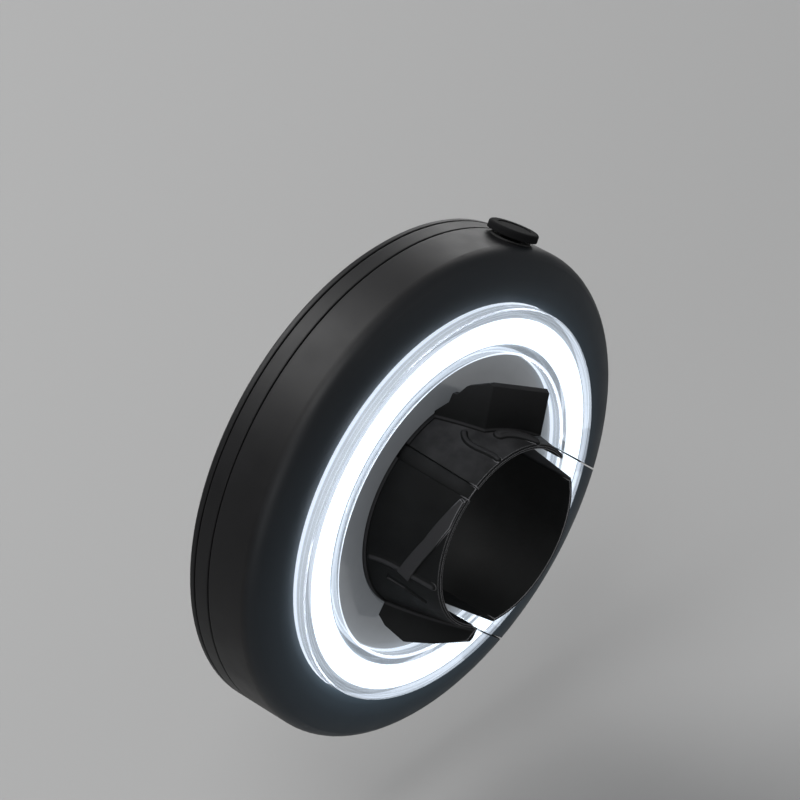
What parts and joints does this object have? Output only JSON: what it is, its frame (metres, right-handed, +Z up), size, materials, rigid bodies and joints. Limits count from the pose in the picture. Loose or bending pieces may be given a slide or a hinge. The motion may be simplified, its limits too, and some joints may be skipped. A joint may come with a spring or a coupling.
{
  "type": "wheel hub light",
  "caption": "Ring-shaped rechargeable light that clamps round a bicycle hub on rubber grip pads and opens with a sliding gate.",
  "frame": {"origin": "centre of the hub bore, halfway through the housing's depth", "axes": "+Y along the hub axle towards the ring's flat back, with the light facing -Y; +Z up; +X to the right when the light is seen from the front"},
  "size_m": [0.09, 0.0292, 0.09],
  "materials": {
    "housing": "fine matte",
    "clear_lens": "polished clear",
    "diffuser": "milky white",
    "inner_ring": "smoky gloss",
    "seal": "soft",
    "circuit_board": "solder mask",
    "led": "ceramic and phosphor",
    "screw_steel": "bright",
    "magnet": "nickel plated",
    "contact": "gold plated",
    "grip_rubber": "satin rubber",
    "button_rubber": "satin rubber",
    "chip": "moulded",
    "battery": "foil pouch",
    "foam": "foam"
  },
  "bodies": {
    "lamp": {"front_shell": "housing", "middle_housing": "housing", "rear_cover": "housing", "lens": "clear_lens", "diffuser": "diffuser", "inner_ring": "inner_ring", "lens_seals": "seal", "gasket": "seal", "led_board": "circuit_board", "leds": "led", "screws": "screw_steel", "magnets": "magnet", "contacts": "contact", "grip_pad_upper": "grip_rubber", "grip_pad_lower": "grip_rubber", "button_seal": "seal", "push_switch": "chip", "control_chips": "chip", "motion_sensor": "contact", "battery_lower": "battery", "battery_upper": "battery", "battery_foam": "foam", "charging_socket": "screw_steel"},
    "gate": {"gate_front_shell": "housing", "gate_middle_housing": "housing", "gate_rear_cover": "housing", "gate_lens": "clear_lens", "gate_diffuser": "diffuser", "gate_inner_ring": "inner_ring", "gate_lens_seals": "seal", "gate_gasket": "seal", "gate_led_board": "circuit_board", "gate_leds": "led", "gate_screws": "screw_steel", "gate_magnets": "magnet", "gate_contacts": "contact", "gate_grip_pad": "grip_rubber"},
    "button": {"button_cap": "button_rubber"},
    "port_cover": {"port_cover": "button_rubber"}
  },
  "joints": [
    {"name": "gate_slide", "type": "slide", "parent": "lamp", "child": "gate", "axis": [0.7071, 0, -0.7071], "range_m": [0, 0.036]},
    {"name": "button_press", "type": "slide", "parent": "lamp", "child": "button", "axis": [-0.509, 0, -0.8607], "range_m": [0, 0.0005], "stiffness_N_per_m": 2500, "springref_m": -0.0002},
    {"name": "port_cover_hinge", "type": "hinge", "parent": "lamp", "child": "port_cover", "pos_m": [0.02463, 0.0072, 0.0066], "axis": [-0.2588, 0, 0.9659], "range_deg": [0, 100]}
  ]
}
